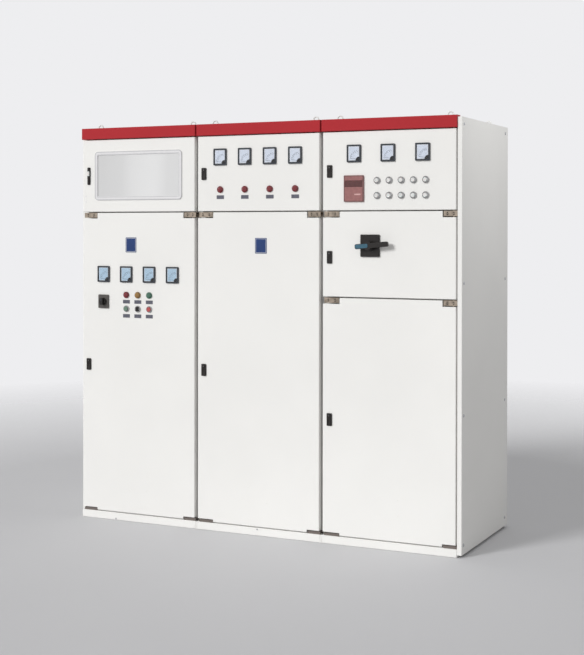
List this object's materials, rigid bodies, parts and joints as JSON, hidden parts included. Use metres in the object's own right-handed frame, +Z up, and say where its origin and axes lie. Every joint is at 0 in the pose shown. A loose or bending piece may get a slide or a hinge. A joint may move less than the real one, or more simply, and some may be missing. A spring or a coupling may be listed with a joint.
{
  "type": "low-voltage distribution cabinet row",
  "caption": "Row of floor-standing low-voltage distribution cubicles with hinged instrument doors, a window door, red headers, meters, lamps and a rotary isolator handle",
  "frame": {"origin": "On the floor at the centre of the middle cubicle's base frame and of its four anchor holes.", "axes": "+X along the row to the right of someone facing the doors, -Y out of the doors, +Z up."},
  "size_m": [2.294, 0.8084, 2.228],
  "materials": {
    "white_paint": "off-white powder coat with a fine orange-peel texture",
    "red_paint": "red powder coat",
    "zinc_plate": "dull yellow-passivated zinc plate",
    "eye_steel": "dull zinc-plated forging",
    "black_plastic": "black moulded plastic",
    "gasket_rubber": "grey rubber section",
    "clear_pane": "clear glazing",
    "lamp_plastic": "moulded lamp and button bodies",
    "red_lens": "red lamp lenses",
    "controller_case": "reddish brown moulded case"
  },
  "bodies": {
    "cabinet": {"posts": "white_paint", "top_rails": "white_paint", "base_rails": "white_paint", "side_rails": "white_paint", "door_rails": "white_paint", "roof_covers": "white_paint", "rear_panels": "white_paint", "end_panel_left": "white_paint", "end_panel_right": "white_paint", "joint_seals": "gasket_rubber", "headers": "red_paint", "plinths": "white_paint", "lifting_eyes": "eye_steel", "hinge_brackets": "zinc_plate", "keeper_brackets": "zinc_plate"},
    "upper_door_1": {"door_1_upper": "white_paint", "lock_1_upper": "black_plastic", "window_gasket": "gasket_rubber", "window_pane": "clear_pane"},
    "lower_door_1": {"door_1_lower": "white_paint", "lock_1_lower": "black_plastic", "meters_1": "black_plastic", "lamps_1": "lamp_plastic", "push_buttons": "lamp_plastic", "selector_plate": "black_plastic"},
    "upper_door_2": {"door_2_upper": "white_paint", "lock_2_upper": "black_plastic", "meters_2": "black_plastic", "lamps_2": "red_lens"},
    "lower_door_2": {"door_2_lower": "white_paint", "lock_2_lower": "black_plastic"},
    "upper_door_3": {"door_3_upper": "white_paint", "lock_3_upper": "black_plastic", "meters_3": "black_plastic", "lamps_3": "lamp_plastic", "controller": "controller_case"},
    "middle_door_3": {"door_3_middle": "white_paint", "lock_3_middle": "black_plastic", "isolator_base": "black_plastic"},
    "lower_door_3": {"door_3_lower": "white_paint", "lock_3_lower": "black_plastic"},
    "selector": {"selector_knob": "black_plastic"},
    "isolator_handle": {"isolator_lever": "black_plastic"}
  },
  "joints": [
    {"name": "upper_door_1_hinge", "type": "hinge", "parent": "cabinet", "child": "upper_door_1", "pos_m": [-0.4, -0.388, 1.931], "axis": [0, 0, 1], "range_deg": [0, 110]},
    {"name": "lower_door_1_hinge", "type": "hinge", "parent": "cabinet", "child": "lower_door_1", "pos_m": [-0.4, -0.388, 0.885], "axis": [0, 0, 1], "range_deg": [0, 110]},
    {"name": "upper_door_2_hinge", "type": "hinge", "parent": "cabinet", "child": "upper_door_2", "pos_m": [0.35, -0.388, 1.931], "axis": [0, 0, 1], "range_deg": [0, 110]},
    {"name": "lower_door_2_hinge", "type": "hinge", "parent": "cabinet", "child": "lower_door_2", "pos_m": [0.35, -0.388, 0.885], "axis": [0, 0, 1], "range_deg": [0, 110]},
    {"name": "upper_door_3_hinge", "type": "hinge", "parent": "cabinet", "child": "upper_door_3", "pos_m": [1.1, -0.388, 1.931], "axis": [0, 0, 1], "range_deg": [0, 110]},
    {"name": "middle_door_3_hinge", "type": "hinge", "parent": "cabinet", "child": "middle_door_3", "pos_m": [1.1, -0.388, 1.503], "axis": [0, 0, 1], "range_deg": [0, 110]},
    {"name": "lower_door_3_hinge", "type": "hinge", "parent": "cabinet", "child": "lower_door_3", "pos_m": [1.1, -0.388, 0.662], "axis": [0, 0, 1], "range_deg": [0, 110]},
    {"name": "selector_turn", "type": "hinge", "parent": "lower_door_1", "child": "selector", "pos_m": [-0.975, -0.402, 1.226], "axis": [0, 1, 0], "range_deg": [-90, 90]},
    {"name": "isolator_turn", "type": "hinge", "parent": "middle_door_3", "child": "isolator_handle", "pos_m": [0.653, -0.41, 1.548], "axis": [0, 1, 0], "range_deg": [0, 90]}
  ]
}
